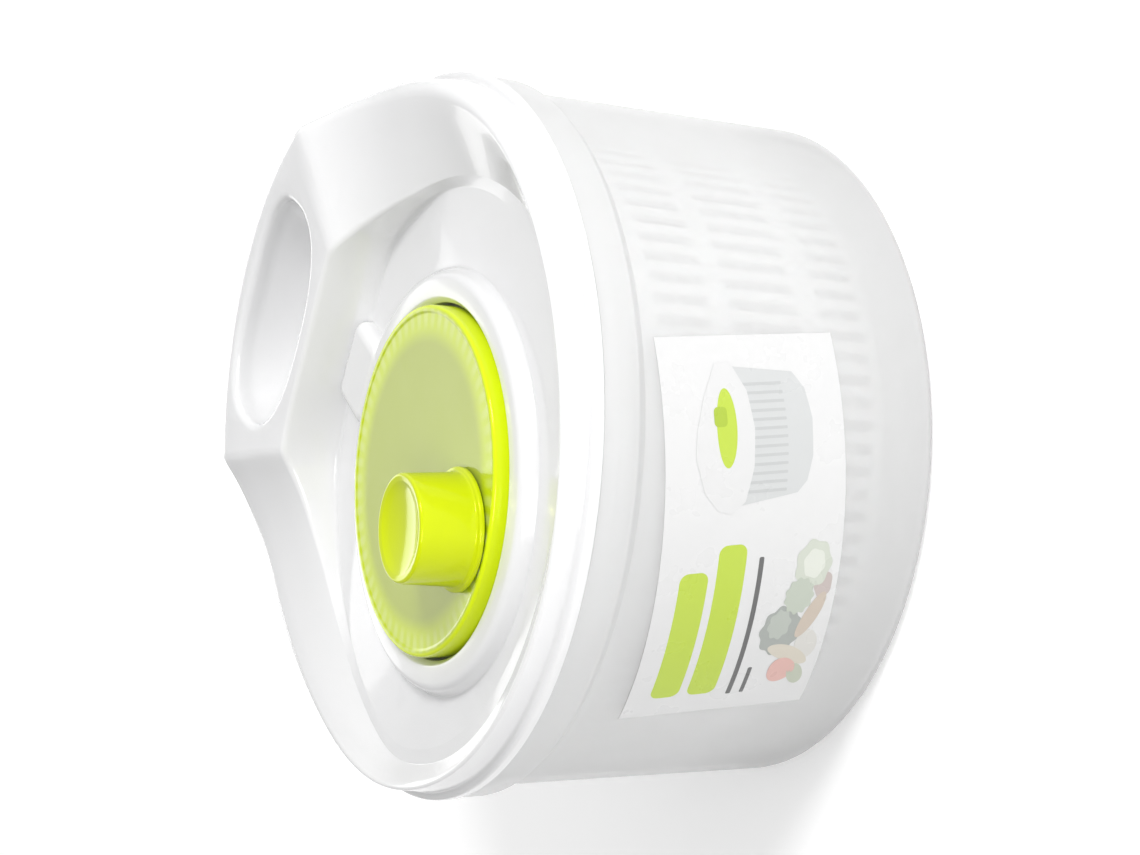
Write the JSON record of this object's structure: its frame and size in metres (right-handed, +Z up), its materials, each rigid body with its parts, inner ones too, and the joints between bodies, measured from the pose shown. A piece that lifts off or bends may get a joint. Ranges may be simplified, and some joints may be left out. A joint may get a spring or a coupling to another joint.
{
  "type": "salad spinner",
  "caption": "Hand-cranked salad spinner: frosted bowl, slotted inner basket, white lid with a raised hollow grip and an off-centre lime crank disc with a turning knob.",
  "frame": {"origin": "centre of the bowl's flat base", "axes": "+Z up along the bowl's axis, +Y towards the lid's raised grip, +X to the right when the crank faces you"},
  "size_m": [0.21, 0.21, 0.1386],
  "materials": {
    "bowl": "frosted translucent polypropylene",
    "label": "satin film label with plain printed shapes",
    "basket": "satin natural polypropylene",
    "lid": "glossy white moulding",
    "cover": "satin white moulding",
    "drive": "satin natural polypropylene",
    "bush": "natural acetal",
    "gear": "natural acetal",
    "crank": "translucent lime moulding",
    "knob": "lime moulding",
    "steel": "stainless steel"
  },
  "bodies": {
    "bowl": {"bowl": "bowl", "label": "label"},
    "basket_bush": {"pivot_bush": "bush", "bush_clip": "bush"},
    "basket": {"basket": "basket"},
    "lid": {"lid": "lid", "inner_cover": "cover", "crank_bush": "bush", "drive_bush": "bush", "cover_screw_1": "steel", "cover_screw_2": "steel", "cover_screw_3": "steel", "cover_screw_4": "steel"},
    "crank": {"crank_disc": "crank", "ring_gear": "crank", "crank_washer": "steel", "crank_screw": "steel"},
    "knob": {"knob": "knob", "knob_clip": "steel"},
    "drive": {"pinion": "gear", "drive_plate": "drive", "drive_washer": "steel", "drive_screw": "steel"}
  },
  "joints": [
    {"name": "lid_lift", "type": "slide", "parent": "bowl", "child": "lid", "axis": [0, 0, 1], "range_m": [0, 0.25]},
    {"name": "crank_spin", "type": "hinge", "parent": "lid", "child": "crank", "pos_m": [0, -0.0255, 0.118], "axis": [0, 0, 1], "continuous": true},
    {"name": "knob_spin", "type": "hinge", "parent": "crank", "child": "knob", "pos_m": [0.004, -0.0565, 0.13], "axis": [0, 0, 1], "continuous": true},
    {"name": "drive_spin", "type": "hinge", "parent": "lid", "child": "drive", "pos_m": [0, 0, 0.105], "axis": [0, 0, 1], "continuous": true},
    {"name": "basket_lift", "type": "slide", "parent": "bowl", "child": "basket_bush", "axis": [0, 0, 1], "range_m": [0, 0.125]},
    {"name": "basket_spin", "type": "hinge", "parent": "basket_bush", "child": "basket", "pos_m": [0, 0, 0.01], "axis": [0, 0, 1], "continuous": true}
  ],
  "couplings": [
    {"joint": "drive_spin", "follows": "crank_spin", "ratio": 2.3077},
    {"joint": "basket_spin", "follows": "crank_spin", "ratio": 2.3077},
    {"joint": "basket_lift", "follows": "lid_lift", "ratio": 0.5}
  ]
}
